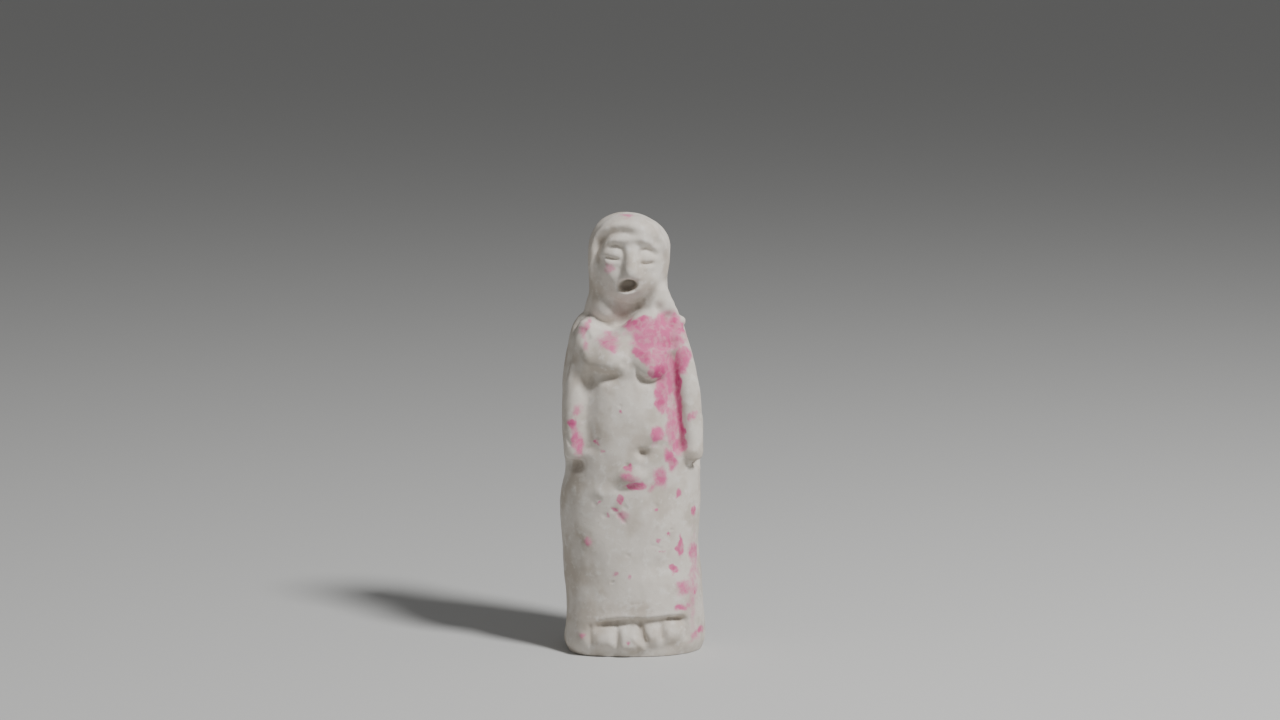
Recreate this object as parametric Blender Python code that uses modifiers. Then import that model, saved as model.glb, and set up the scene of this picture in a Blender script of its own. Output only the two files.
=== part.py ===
"""A small standing woman of fired clay: one lump, built up and carved the way a potter does it.

Rolls and pellets of clay are pressed on to a column, blended, carved with strokes, and stood on a flat foot.
The figure looks along -Y, its left hand is at +X, and the origin is in the middle of the foot.
"""

import math

import bmesh
import bpy
import numpy as np

# The three sizes of the whole figure, in metres.
FIGURE_HEIGHT = 0.150
FIGURE_WIDTH = 0.0500
FIGURE_DEPTH = 0.0397

# The figure is laid out in parts of its own size: this many high, wide across the elbows, and deep.
PARTS_HIGH = 150.0
PARTS_WIDE = 50.0
PARTS_DEEP = 39.7

# How finely the clay is worked, in metres, in how many rounds the strokes go in,
# and how many triangles the finished solid may have.
CLAY_GRAIN = 0.00045
CARVING_ROUNDS = 3
FINISHED_TRIANGLES = 9400

# Column stations from the foot up: height, middle, half width, front, back, squareness of each side.
COLUMN = (
    (-3.0, 0.0, 21.5, 16.0, 15.4, 3.0, 2.1),
    (0.0, 0.0, 22.9, 17.9, 16.8, 3.0, 2.1),
    (2.6, 0.0, 24.1, 19.4, 17.8, 3.0, 2.1),
    (8.0, 0.2, 23.8, 20.0, 18.0, 2.8, 2.1),
    (17.0, -0.1, 23.4, 19.8, 17.8, 2.4, 2.1),
    (26.0, -0.9, 23.6, 19.4, 17.6, 2.2, 2.1),
    (38.0, -1.6, 23.2, 19.0, 17.3, 2.1, 2.1),
    (48.0, -1.8, 24.0, 18.9, 17.6, 2.1, 2.1),
    (56.0, -1.5, 23.8, 18.8, 18.0, 2.1, 2.1),
    (61.5, -1.0, 22.9, 18.8, 18.0, 2.1, 2.1),
    (69.0, -0.9, 23.6, 18.8, 17.6, 2.2, 2.1),
    (77.0, -1.0, 24.1, 18.4, 16.8, 2.2, 2.1),
    (86.0, -1.5, 23.4, 17.4, 16.2, 2.2, 2.1),
    (97.0, -1.9, 22.4, 16.4, 16.2, 2.2, 2.1),
    (105.0, -2.4, 20.6, 15.4, 15.6, 2.1, 2.1),
    (109.0, -2.4, 19.7, 12.4, 15.0, 2.1, 2.1),
    (112.0, -2.2, 18.7, 5.4, 14.2, 2.1, 2.1),
    (114.5, -2.0, 17.3, 3.4, 13.2, 2.1, 2.1),
    (118.0, -1.8, 12.0, 3.0, 9.5, 2.0, 2.0),
)

# Head and hair stations: height, middle, half width, front, back.
HEAD = (
    (106.0, -2.0, 13.0, 3.6, 13.5),
    (113.0, -2.0, 15.0, 4.4, 14.6),
    (118.5, -1.8, 15.2, 5.4, 14.4),
    (122.0, -2.1, 13.8, 7.8, 14.1),
    (126.5, -2.4, 13.3, 10.6, 14.2),
    (133.0, -2.1, 13.8, 11.6, 14.6),
    (138.6, -1.9, 13.9, 11.9, 14.0),
)

# The crown closes the head: its top, its roundness at the sides, front and back, and its lean.
CROWN_TOP = 150.0
CROWN_SIDE = 1.95
CROWN_FRONT = 3.3
CROWN_BACK = 2.1
CROWN_LEAN = -0.9

# How much wider than deep the column counts as when a stroke picks its direction.
CORNER_SPREAD = 1.8


def blend(low, high, value):
    """Rise smoothly from 0 at low to 1 at high."""
    share = np.clip((value - low) / (high - low), 0.0, 1.0)
    return share * share * (3.0 - 2.0 * share)


def part_size():
    """The size of one part in metres, across, deep and high."""
    return (FIGURE_WIDTH / PARTS_WIDE, FIGURE_DEPTH / PARTS_DEEP, FIGURE_HEIGHT / PARTS_HIGH)


def station_values(stations, height):
    """Interpolate a table of stations at one height with a smooth curve through every station."""
    knots = np.array([row[0] for row in stations])
    values = np.array([row[1:] for row in stations])
    slopes = np.gradient(values, knots, axis=0)
    index = int(np.clip(np.searchsorted(knots, height) - 1, 0, len(knots) - 2))
    span = knots[index + 1] - knots[index]
    t = (height - knots[index]) / span
    start, end = values[index], values[index + 1]
    start_slope, end_slope = slopes[index] * span, slopes[index + 1] * span
    return (
        (2 * t**3 - 3 * t**2 + 1) * start
        + (t**3 - 2 * t**2 + t) * start_slope
        + (3 * t**2 - 2 * t**3) * end
        + (t**3 - t**2) * end_slope
    )


def ring(height, middle, half_width, front, back, square_left, square_right, count=72):
    """One level section: a super-ellipse whose four quarters differ."""
    points = []
    for step in range(count):
        angle = 2 * math.pi * step / count
        cosine, sine = math.cos(angle), math.sin(angle)
        power = 2.0 / (square_left if cosine < 0 else square_right)
        depth = front if sine < 0 else back
        x = middle + math.copysign(half_width * abs(cosine) ** power, cosine)
        y = math.copysign(depth * abs(sine) ** power, sine)
        points.append((x, y, height))
    return points


def loft(name, rings):
    """Close a stack of rings into one solid, with a flat face at each end."""
    mesh = bmesh.new()
    levels = [[mesh.verts.new(point) for point in points] for points in rings]
    for lower, upper in zip(levels, levels[1:]):
        for index in range(len(lower)):
            after = (index + 1) % len(lower)
            mesh.faces.new((lower[index], lower[after], upper[after], upper[index]))
    mesh.faces.new(list(reversed(levels[0])))
    mesh.faces.new(levels[-1])
    return finish_lump(name, mesh)


def finish_lump(name, mesh):
    """Turn a bmesh in parts into an object."""
    data = bpy.data.meshes.new(name)
    mesh.to_mesh(data)
    mesh.free()
    lump = bpy.data.objects.new(name, data)
    bpy.context.scene.collection.objects.link(lump)
    return lump


def pellet(name, place, radii, tilt=0.0, lean=0.0):
    """A pinched ball of clay: an ellipsoid, tilted in the front plane and leaned back."""
    bpy.ops.mesh.primitive_uv_sphere_add(segments=28, ring_count=18, radius=1.0, location=place)
    ball = bpy.context.object
    ball.name = name
    ball.scale = radii
    ball.rotation_euler = (lean, tilt, 0.0)
    return ball


def roll(name, points, thickness):
    """A roll of clay with rounded ends along a smooth path; thickness is one radius for each point."""
    path = bpy.data.curves.new(name, "CURVE")
    path.dimensions = "3D"
    path.bevel_depth = 1.0
    path.bevel_resolution = 5
    path.resolution_u = 10
    path.use_fill_caps = True
    spline = path.splines.new("NURBS")
    spline.points.add(len(points) - 1)
    for control, place, radius in zip(spline.points, points, thickness):
        control.co = (*place, 1.0)
        control.radius = radius
    spline.use_endpoint_u = True
    spline.order_u = 3
    curve = bpy.data.objects.new(name, path)
    bpy.context.scene.collection.objects.link(curve)
    bpy.context.view_layer.update()
    solid = bpy.data.meshes.new_from_object(curve.evaluated_get(bpy.context.evaluated_depsgraph_get()))
    welded = bmesh.new()
    welded.from_mesh(solid)
    bmesh.ops.remove_doubles(welded, verts=welded.verts, dist=0.0001)
    bmesh.ops.recalc_face_normals(welded, faces=welded.faces)
    bpy.data.objects.remove(curve)
    bpy.data.meshes.remove(solid)
    ends = [
        pellet(f"{name}_end", points[index], (thickness[index],) * 3)
        for index in (0, -1)
    ]
    return [finish_lump(name, welded), *ends]


def column():
    """The body as one pillar, from below the foot to the shoulders."""
    heights = np.linspace(COLUMN[0][0], COLUMN[-1][0], 96)
    return loft("column", [ring(height, *station_values(COLUMN, height)) for height in heights])


def head():
    """Hair and skull in one, closed by a rounded crown."""
    widest = HEAD[-1][0]
    rings = []
    for height in np.linspace(HEAD[0][0], widest, 30):
        rings.append(ring(height, *station_values(HEAD, height), 2.2, 2.2))
    middle, half_width, front, back = HEAD[-1][1:]
    for step in range(1, 19):
        rise = math.sin(step / 19 * math.pi / 2)
        powers = (CROWN_SIDE, CROWN_FRONT, CROWN_BACK)
        side, fore, aft = ((1 - rise**power) ** (1 / power) for power in powers)
        height = widest + (CROWN_TOP - widest) * rise
        shift = CROWN_LEAN * rise**2
        rings.append(ring(height, middle + shift, half_width * side, front * fore, back * aft, 2.2, 2.2))
    return loft("head", rings)


def lumps():
    """Everything that the potter pressed on to the column, in parts: x, y (front is minus), z."""
    pieces = [column(), head()]
    # The jaw hangs clear of the neck, the muzzle and nose stand out from it, and the brow fills the forehead.
    pieces.append(pellet("jaw", (-1.6, -5.0, 128.0), (10.4, 7.8, 8.6)))
    pieces.append(pellet("muzzle", (-1.6, -7.4, 126.8), (6.6, 6.0, 4.8)))
    pieces.append(pellet("brow", (-1.5, -3.8, 139.8), (11.0, 7.9, 7.0)))
    pieces += roll("nose", [(-1.4, -9.6, 140.4), (-1.4, -10.4, 135.6), (-1.2, -11.2, 131.4)], (1.8, 2.2, 2.8))
    # Hair: the roll over the brow, the forelock above it, and the masses that fall to each side of the neck.
    pieces.append(pellet("forelock", (-1.8, -5.8, 143.2), (11.0, 7.6, 6.5)))
    pieces += roll(
        "hair_roll",
        [
            (-14.2, -4.6, 129.0),
            (-14.3, -5.4, 136.0),
            (-13.2, -6.8, 141.6),
            (-9.2, -9.4, 145.3),
            (-2.4, -10.8, 146.5),
            (4.4, -9.6, 145.1),
            (9.0, -6.8, 141.4),
            (10.2, -4.6, 135.0),
            (10.0, -3.8, 129.0),
        ],
        (1.3, 1.6, 1.8, 1.9, 2.0, 2.1, 1.9, 1.5, 1.3),
    )
    pieces += roll(
        "hair_right",
        [(-11.8, -1.2, 130.0), (-11.3, -1.8, 121.5), (-10.2, -2.4, 116.8)],
        (3.4, 4.9, 5.0),
    )
    pieces.append(pellet("hair_left", (6.8, -3.4, 120.0), (5.4, 5.4, 8.0), tilt=-0.15))
    pieces += roll(
        "lock",
        [(8.6, -3.6, 125.6), (9.9, -4.8, 121.0), (11.4, -4.6, 118.2), (13.2, -4.2, 116.0)],
        (1.8, 2.3, 2.1, 1.6),
    )
    pieces.append(pellet("knob", (15.3, -3.4, 113.2), (2.0, 2.1, 1.9)))
    # The upper edge of the chest dips in front of the neck and climbs to the figure's left.
    pieces += roll(
        "collar",
        [
            (-15.0, -4.0, 110.8),
            (-8.6, -8.4, 105.4),
            (-3.6, -8.6, 107.4),
            (0.0, -8.2, 110.2),
            (3.4, -7.0, 112.8),
            (7.0, -5.0, 115.4),
        ],
        (3.8, 4.4, 4.5, 4.6, 4.6, 4.4),
    )
    pieces.append(pellet("chest", (2.4, -5.0, 105.8), (11.6, 9.2, 8.0), tilt=-0.45))
    # The arms hang along the corners of the column.
    pieces += roll(
        "arm_right",
        [(-16.0, -5.6, 110.0), (-19.0, -8.4, 97.0), (-20.4, -9.4, 83.0), (-20.2, -10.2, 70.0)],
        (4.2, 4.4, 4.3, 4.2),
    )
    pieces += roll(
        "arm_left",
        [(13.4, -5.6, 108.0), (16.8, -8.8, 96.0), (18.2, -9.8, 83.0), (18.6, -10.4, 69.4)],
        (4.2, 4.6, 4.7, 4.3),
    )
    # Clay pressed over the shoulders, the fold over the navel and a stray pellet on the skirt.
    pieces.append(pellet("shoulder_right", (-13.2, -6.4, 106.0), (5.6, 5.0, 6.0)))
    pieces.append(pellet("shoulder_left", (11.4, -2.6, 111.4), (5.0, 5.2, 5.0)))
    pieces.append(pellet("navel_fold", (5.6, -16.0, 76.0), (4.0, 2.2, 2.6), tilt=0.3))
    pieces.append(pellet("wart", (-15.2, -14.3, 39.0), (2.4, 1.8, 2.3)))
    return pieces


def join_lumps(pieces):
    """Press the lumps together: one mesh in metres, still as overlapping shells."""
    joined = bmesh.new()
    bpy.context.view_layer.update()
    for piece in pieces:
        mesh = piece.data.copy()
        mesh.transform(piece.matrix_world)
        joined.from_mesh(mesh)
        bpy.data.meshes.remove(mesh)
        bpy.data.objects.remove(piece)
    bmesh.ops.scale(joined, vec=part_size(), verts=joined.verts)
    return finish_lump("clay_figurine", joined)


def knead(figure, grain, passes, soften=0):
    """Blend the shells into one skin of the given grain, and smooth it; soften dulls fresh strokes first."""
    if soften:
        dull = figure.modifiers.new("soften", "SMOOTH")
        dull.factor = 0.5
        dull.iterations = soften
    skin = figure.modifiers.new("skin", "REMESH")
    skin.mode = "VOXEL"
    skin.voxel_size = grain
    if passes:
        smooth = figure.modifiers.new("smooth", "SMOOTH")
        smooth.factor = 0.5
        smooth.iterations = passes
    settle(figure)


def settle(figure):
    """Keep what the modifiers made as the object's own mesh."""
    bpy.context.view_layer.update()
    made = bpy.data.meshes.new_from_object(figure.evaluated_get(bpy.context.evaluated_depsgraph_get()))
    figure.modifiers.clear()
    old = figure.data
    figure.data = made
    bpy.data.meshes.remove(old)


def read_skin(figure):
    """The skin's points in parts, and the size of a part along each axis."""
    points = np.empty(len(figure.data.vertices) * 3)
    figure.data.vertices.foreach_get("co", points)
    scale = np.array(part_size())
    return points.reshape(-1, 3) / scale, scale


def write_skin(figure, points, scale):
    """Give moved points back to the skin."""
    figure.data.vertices.foreach_set("co", (points * scale).ravel())
    figure.data.update()


def spot(x, z, middle, radii, tilt=0.0, edge=2.0):
    """1 at the middle of an oval, falling to 0 outside it; a higher edge makes a flatter top."""
    cosine, sine = math.cos(tilt), math.sin(tilt)
    along = ((x - middle[0]) * cosine + (z - middle[1]) * sine) / radii[0]
    across = ((z - middle[1]) * cosine - (x - middle[0]) * sine) / radii[1]
    return np.exp(-((along * along + across * across) ** (edge / 2)) * 1.4)


def trace(x, z, path):
    """Distance to a path of straight stretches, and the share of the way along it."""
    best = np.full(x.shape, 1e9)
    share = np.zeros(x.shape)
    lengths = [math.dist(a, b) for a, b in zip(path, path[1:])]
    run, total = 0.0, sum(lengths)
    for (ax, az), (bx, bz), length in zip(path, path[1:], lengths):
        t = np.clip(((x - ax) * (bx - ax) + (z - az) * (bz - az)) / length**2, 0.0, 1.0)
        gap = np.hypot(x - ax - t * (bx - ax), z - az - t * (bz - az))
        nearer = gap < best
        best = np.where(nearer, gap, best)
        share = np.where(nearer, (run + t * length) / total, share)
        run += length
    return best, share


def mound(x, z, middle, radii, rise):
    """1 at the middle of a swelling that drops away quickly below and slowly above."""
    across = (x - middle[0]) / radii[0]
    down = (z - middle[1]) / np.where(z > middle[1], rise, radii[1])
    return np.exp(-((across * across + down * down) ** 1.1) * 1.2)


def flank(x, z, path, steep, gentle):
    """1 along an upward path, falling quickly on the side of the arm and slowly towards the body."""
    gap, share = trace(x, z, path)
    path_x, path_z = np.array(path).T
    outside = (x - np.interp(z, path_z, path_x)) * math.copysign(1.0, path_x[0])
    ends = blend(0.0, 0.12, share + 0.02) * blend(0.0, 0.12, 1.02 - share)
    return np.exp(-((gap / np.where(outside > 0.0, steep, gentle)) ** 2)) * ends


def groove(x, z, path, width, fade=0.12):
    """1 along a path, falling to 0 at its sides and towards its ends."""
    gap, share = trace(x, z, path)
    ends = blend(0.0, fade, share + 0.02) * blend(0.0, fade, 1.02 - share)
    return np.exp(-((gap / width) ** 2) * 1.4) * ends


def ledge(x, z, path, crisp, reach, fade=2.0, side=1.0):
    """1 just under an edge from low x to high x, or just above it with side -1, fading away from it."""
    gap, _ = trace(x, z, path)
    edge_x, edge_z = np.array(path).T
    within = side * gap * np.sign(np.interp(x, edge_x, edge_z) - z)
    ends = blend(edge_x[0], edge_x[0] + fade, x) * blend(edge_x[-1], edge_x[-1] - fade, x)
    return blend(-crisp, crisp, within) * np.exp(-((np.maximum(within, 0.0) / reach) ** 2)) * ends


def pad(x, z, left, right, bottom, top):
    """A pillow: 1 inside a box, rounded at its sides and above, fading out slowly below."""
    sides = blend(-0.6, 2.2, np.minimum(x - left, right - x))
    return sides * blend(-0.8, 3.4, top - z) * blend(bottom - 1.6, bottom + 3.4, z)


def press(depth, mask, floor):
    """Push the clay back to a floor where the mask is 1."""
    return depth - mask * np.maximum(0.0, depth - floor)


def carve_face(x, z, depth):
    """Hairline, brow, closed eyes, nose and the open mouth."""
    # The hollow under the hair roll is deep at the figure's right and fades to its left.
    under_roll = [
        (-14.4, 135.6),
        (-13.8, 139.0),
        (-12.6, 141.5),
        (-10.6, 143.6),
        (-8.0, 144.9),
        (-5.0, 145.4),
        (-1.7, 144.9),
        (1.2, 144.0),
        (4.4, 142.6),
        (6.8, 141.0),
        (9.0, 138.2),
    ]
    reach = 2.6 + 1.6 * blend(-11.0, -7.0, x)
    depth = depth - (2.6 - 1.8 * blend(-3.0, 4.0, x)) * ledge(x, z, under_roll, 1.8, reach, fade=1.6)
    temple = [(-8.4, 143.4), (-11.2, 140.6), (-12.9, 136.0), (-12.9, 131.0), (-11.6, 126.0), (-9.8, 122.0)]
    depth = depth - 1.0 * groove(x, z, temple, 2.0, fade=0.3)
    # The face lies back from the hair beside it, most of all at the jaw.
    contour = [(-12.6, 136.0), (-11.6, 131.0), (-10.9, 127.6), (-9.4, 124.8), (-7.5, 121.7), (-6.0, 119.0)]
    depth = depth - (0.2 + 0.6 * blend(131.0, 125.0, z)) * ledge(x, z, contour, 1.8, 3.0, side=-1.0)
    depth = depth + 0.8 * spot(x, z, (-8.9, 131.6), (3.2, 4.6))
    left_cheek = [(8.4, 139.4), (10.0, 134.0), (10.0, 129.0), (8.8, 124.6)]
    depth = depth - 0.7 * groove(x, z, left_cheek, 1.5, fade=0.3)
    # One brow ridge arches over both eyes.
    brow = [
        (-13.0, 133.6),
        (-12.3, 136.2),
        (-10.9, 138.6),
        (-9.6, 140.2),
        (-7.9, 141.4),
        (-5.2, 142.0),
        (-1.1, 142.3),
        (2.0, 142.1),
        (5.6, 140.2),
        (8.6, 136.4),
    ]
    depth = depth + (1.2 + 0.5 * blend(-5.0, -9.0, x)) * groove(x, z, brow, 1.6, fade=0.16)
    # Sockets hold closed lids that bulge towards their slits, with a small fold below each.
    depth = depth - 1.7 * spot(x, z, (-7.4, 137.1), (4.0, 3.1), tilt=0.1, edge=2.6)
    depth = depth - 1.8 * spot(x, z, (4.4, 136.2), (4.1, 3.0), tilt=-0.3, edge=2.6)
    depth = depth + 2.4 * mound(x, z, (-7.9, 136.7), (3.9, 1.5), 3.0)
    depth = depth + 2.3 * mound(x, z, (4.5, 135.2), (3.8, 1.5), 2.9)
    depth = depth + 0.7 * groove(x, z, [(-10.6, 134.9), (-9.0, 134.2), (-6.8, 133.8), (-4.8, 134.2)], 0.9)
    depth = depth + 0.7 * groove(x, z, [(1.4, 132.5), (3.6, 132.0), (6.4, 132.4)], 1.0)
    over_right_lid = [
        (-11.6, 136.4),
        (-10.6, 138.2),
        (-9.2, 139.4),
        (-7.2, 140.0),
        (-5.6, 139.5),
        (-4.4, 138.2),
        (-3.7, 135.4),
    ]
    depth = depth - 0.8 * groove(x, z, over_right_lid, 1.0)
    over_left_lid = [(1.0, 135.4), (1.4, 137.9), (3.6, 138.5), (5.8, 137.5), (7.6, 135.8)]
    depth = depth - 0.8 * groove(x, z, over_left_lid, 0.9)
    depth = depth - 1.2 * groove(x, z, [(-10.4, 136.0), (-8.8, 135.7), (-7.0, 135.2), (-5.3, 134.9)], 0.5)
    depth = depth - 1.2 * groove(x, z, [(1.4, 134.0), (3.4, 133.4), (6.0, 133.8)], 0.6)
    # The nose is straight, steep at the figure's right, widest and highest at its foot.
    fall = np.clip((140.5 - z) / 11.0, 0.0, 1.0)
    side = (x + 1.6) / np.where(x < -1.6, 1.6 + 1.3 * fall, 1.8 + 1.8 * fall)
    bridge = np.exp(-np.abs(side) ** 2.6) * blend(127.6, 129.2, z) * blend(143.0, 139.0, z)
    depth = depth + (0.7 + 1.6 * fall) * bridge
    # The mouth is an oval right under the nose, a little higher at the figure's left.
    across = ((x + 2.6) + 0.2 * (z - 126.3)) / 3.3
    rise = ((z - 126.3) - 0.2 * (x + 2.6)) / 2.2
    mouth = blend(1.14, 0.78, np.hypot(across, rise))
    depth = press(depth, mouth, 5.0)
    return depth + 0.8 * groove(x, z, [(-6.0, 124.4), (-5.0, 123.5), (-2.9, 123.1), (-0.4, 123.8)], 0.8)


def carve_neck(x, z, depth):
    """The V-shaped neckline, the hair that hangs before it, the lock's creases and the right shoulder."""
    neckline = [
        (-17.0, 116.0),
        (-14.4, 114.2),
        (-11.7, 111.8),
        (-8.5, 110.4),
        (-5.1, 111.4),
        (-2.4, 113.4),
        (-0.3, 115.6),
        (3.4, 118.7),
        (6.4, 121.8),
        (8.4, 124.2),
    ]
    depth = depth - (2.4 - 0.2 * blend(-4.0, 2.0, x)) * ledge(x, z, neckline, 0.9, 5.4, fade=4.0, side=-1.0)
    hair_edge = np.interp(z, (110.4, 113.6, 117.2, 121.0, 124.7), (-7.4, -5.8, -5.9, -7.8, -10.4))
    lobe = blend(-0.9, 0.7, hair_edge - x) * blend(-17.4, -13.4, x)
    depth = depth + 1.6 * lobe * blend(110.2, 112.6, z) * blend(124.0, 116.0, z)
    depth = depth - 1.5 * groove(x, z, [(7.2, 120.6), (8.6, 117.0), (12.2, 113.0)], 1.7, fade=0.3)
    # Clay is smeared over the right shoulder and has cracked there.
    depth = depth + 0.7 * groove(x, z, [(-17.8, 115.0), (-15.8, 111.6), (-14.6, 108.6)], 2.0)
    depth = depth - 0.5 * groove(x, z, [(-17.2, 111.4), (-15.9, 109.8), (-15.0, 107.6)], 0.8)
    return depth + 0.8 * spot(x, z, (-17.0, 105.4), (2.0, 2.8), tilt=0.3)


def carve_torso(x, z, depth):
    """Arms set off from the body, hollows under the hands, breasts, navel and boss."""
    left_arm = [(16.6, 69.0), (15.4, 80.0), (14.4, 88.0), (13.6, 97.0), (12.6, 105.0)]
    right_arm = [(-16.0, 69.0), (-16.6, 80.0), (-16.2, 90.0), (-14.6, 100.0)]
    depth = depth - 2.3 * flank(x, z, left_arm, 1.5, 3.2)
    depth = depth - 1.3 * flank(x, z, right_arm, 1.5, 4.0)
    depth = depth - 1.0 * spot(x, z, (-21.4, 98.6), (2.6, 6.4), tilt=0.1)
    depth = depth + 0.6 * groove(x, z, [(16.8, 71.0), (19.0, 70.2), (21.6, 70.6)], 1.5)
    depth = depth - 3.0 * spot(x, z, (21.4, 65.5), (2.3, 2.2), edge=3.4) * blend(-0.5, 0.9, 66.9 - z)
    depth = depth - 3.2 * spot(x, z, (-20.2, 65.2), (2.9, 2.7), edge=3.0) * blend(-0.5, 0.9, 67.3 - z)
    # Breasts, with a hollow under each.
    depth = depth + 2.8 * mound(x, z, (-9.2, 101.0), (6.4, 3.9), 6.8)
    depth = depth + 1.2 * spot(x, z, (-15.8, 101.4), (3.4, 6.4), tilt=0.1)
    depth = depth + 3.0 * mound(x, z, (5.0, 98.9), (5.0, 3.8), 6.4)
    depth = depth - 0.7 * groove(x, z, [(-1.6, 107.0), (-1.8, 102.0), (-1.4, 97.0)], 1.8, fade=0.3)
    under_right = [(-18.6, 95.6), (-13.4, 97.0), (-8.4, 97.4), (-3.6, 96.8)]
    depth = depth - 0.7 * ledge(x, z, under_right, 1.0, 3.0, fade=4.4)
    depth = depth - 1.6 * spot(x, z, (-15.4, 93.2), (2.8, 3.6), tilt=-0.2)
    depth = depth - 1.8 * spot(x, z, (-8.4, 95.4), (4.4, 2.6), tilt=0.1)
    under_left = [(-0.8, 100.6), (1.2, 97.4), (3.6, 95.4), (6.0, 94.6), (8.6, 95.2), (11.0, 97.0)]
    depth = depth - 2.1 * ledge(x, z, under_left, 0.9, 2.3, fade=2.4)
    # Belly: the navel, the fold beside it and the boss below.
    depth = depth + 1.0 * spot(x, z, (4.0, 75.0), (13.0, 15.0))
    depth = depth - 0.8 * spot(x, z, (2.2, 70.5), (3.6, 1.9))
    depth = depth - 2.2 * spot(x, z, (2.6, 69.8), (1.8, 1.8))
    depth = depth + 0.7 * spot(x, z, (6.2, 76.2), (2.9, 3.2))
    depth = depth - 0.35 * groove(x, z, [(4.4, 72.7), (7.0, 72.9), (11.0, 72.5)], 0.8)
    depth = depth + 1.8 * spot(x, z, (-1.5, 62.1), (4.9, 3.0), tilt=0.06, edge=3.0)
    under_boss = [(-8.4, 58.9), (-5.4, 58.0), (-2.0, 58.1), (1.2, 59.2), (3.6, 61.2)]
    return depth - (0.7 - 0.6 * blend(-3.0, 2.0, x)) * ledge(x, z, under_boss, 0.8, 1.4, fade=2.6)


def carve_feet(x, z, depth):
    """The hem's arch, the toes under it and the gap between the feet."""
    hem = [
        (-15.4, 9.8),
        (-13.4, 11.2),
        (-10.8, 12.4),
        (-4.7, 13.4),
        (2.0, 13.2),
        (11.2, 13.7),
        (16.0, 13.5),
        (18.4, 12.2),
    ]
    depth = depth + 0.4 * groove(x, z, [(across, up + 0.8) for across, up in hem], 1.0)
    depth = depth - 1.9 * ledge(x, z, hem, 1.2, 8.5, fade=2.8)
    depth = depth - 1.0 * groove(x, z, [(-12.6, 11.0), (-9.4, 11.6), (-2.2, 12.0)], 1.3, fade=0.25)
    depth = depth - 1.1 * groove(x, z, [(10.8, 13.0), (13.0, 12.9), (16.4, 12.0)], 0.8)
    depth = depth - 0.5 * groove(x, z, [(-14.0, 2.4), (0.0, 1.6), (15.0, 3.2)], 2.0)
    toes = (
        (-14.6, -6.6, 2.6, 10.4),
        (-6.0, 1.2, 0.8, 10.6),
        (3.0, 9.1, 4.0, 10.8),
        (9.5, 17.2, 4.6, 11.6),
    )
    for left, right, bottom, top in toes:
        depth = depth + 1.8 * pad(x, z, left, right, bottom, top)
    # A strip of clay crosses the gap between the feet, and a lump sits outside the right foot.
    depth = depth - 1.3 * groove(x, z, [(1.8, 12.4), (2.2, 9.0), (3.8, 5.0)], 1.0)
    depth = depth + 1.0 * groove(x, z, [(-0.6, 7.4), (0.8, 5.4), (2.2, 3.6), (3.4, 2.0)], 1.1)
    depth = depth + 0.8 * spot(x, z, (-17.8, 6.6), (1.6, 2.0))
    for line in (
        [(-15.3, 11.0), (-15.0, 0.6)],
        [(-6.3, 13.0), (-6.2, 3.0)],
        [(9.3, 11.6), (9.3, 6.0)],
        [(17.5, 12.6), (17.7, 5.4)],
    ):
        depth = depth - 0.6 * groove(x, z, line, 0.7)
    return depth


def carve(figure, share):
    """Draw the strokes on the front of the figure, all to the same share of their depth towards the back."""
    points, scale = read_skin(figure)
    x, z = points[:, 0], points[:, 2]
    # Strokes go straight in at the front, and towards the middle of the column at its corners.
    inward = np.stack((points[:, 0] / CORNER_SPREAD, points[:, 1]), axis=1)
    inward /= np.maximum(np.linalg.norm(inward, axis=1, keepdims=True), 1.0)
    plain = -points[:, 1]
    depth = plain
    for stage in (carve_face, carve_neck, carve_torso, carve_feet):
        depth = stage(x, z, depth)
    push = share * (depth - plain) * blend(-2.0, 4.0, plain)
    points[:, :2] += inward * push[:, None]
    write_skin(figure, points, scale)


def stand(figure):
    """Bring what is above the ground to its exact size, centred on the origin."""
    points, scale = read_skin(figure)
    above = points[:, 2] > 0.0
    points[above, 2] *= PARTS_HIGH / points[:, 2].max()
    for axis, wanted in ((0, PARTS_WIDE), (1, PARTS_DEEP)):
        low, high = points[above, axis].min(), points[above, axis].max()
        points[:, axis] = (points[:, axis] - (low + high) / 2) * wanted / (high - low)
    write_skin(figure, points, scale)


def flat_foot(figure):
    """A block that takes away all the clay below the ground."""
    side = 3 * max(FIGURE_WIDTH, FIGURE_DEPTH)
    bpy.ops.mesh.primitive_cube_add(size=1.0, location=(0.0, 0.0, -side / 2))
    block = bpy.context.object
    block.name = "ground_cutter"
    block.scale = (side, side, side)
    block.display_type = "WIRE"
    block.hide_render = True
    cut = figure.modifiers.new("flat foot", "BOOLEAN")
    cut.operation = "DIFFERENCE"
    cut.solver = "EXACT"
    cut.object = block
    return block


def fired_clay():
    """Pale fired clay, dry and matt."""
    material = bpy.data.materials.new("fired_clay")
    material.use_nodes = True
    shader = material.node_tree.nodes["Principled BSDF"]
    shader.inputs["Base Color"].default_value = (0.62, 0.59, 0.56, 1.0)
    shader.inputs["Roughness"].default_value = 0.8
    shader.inputs["Metallic"].default_value = 0.0
    return material


def collect(name, things):
    """Move objects into a collection of their own."""
    group = bpy.data.collections.new(name)
    bpy.context.scene.collection.children.link(group)
    for thing in things:
        for holder in list(thing.users_collection):
            holder.objects.unlink(thing)
        group.objects.link(thing)


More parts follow.
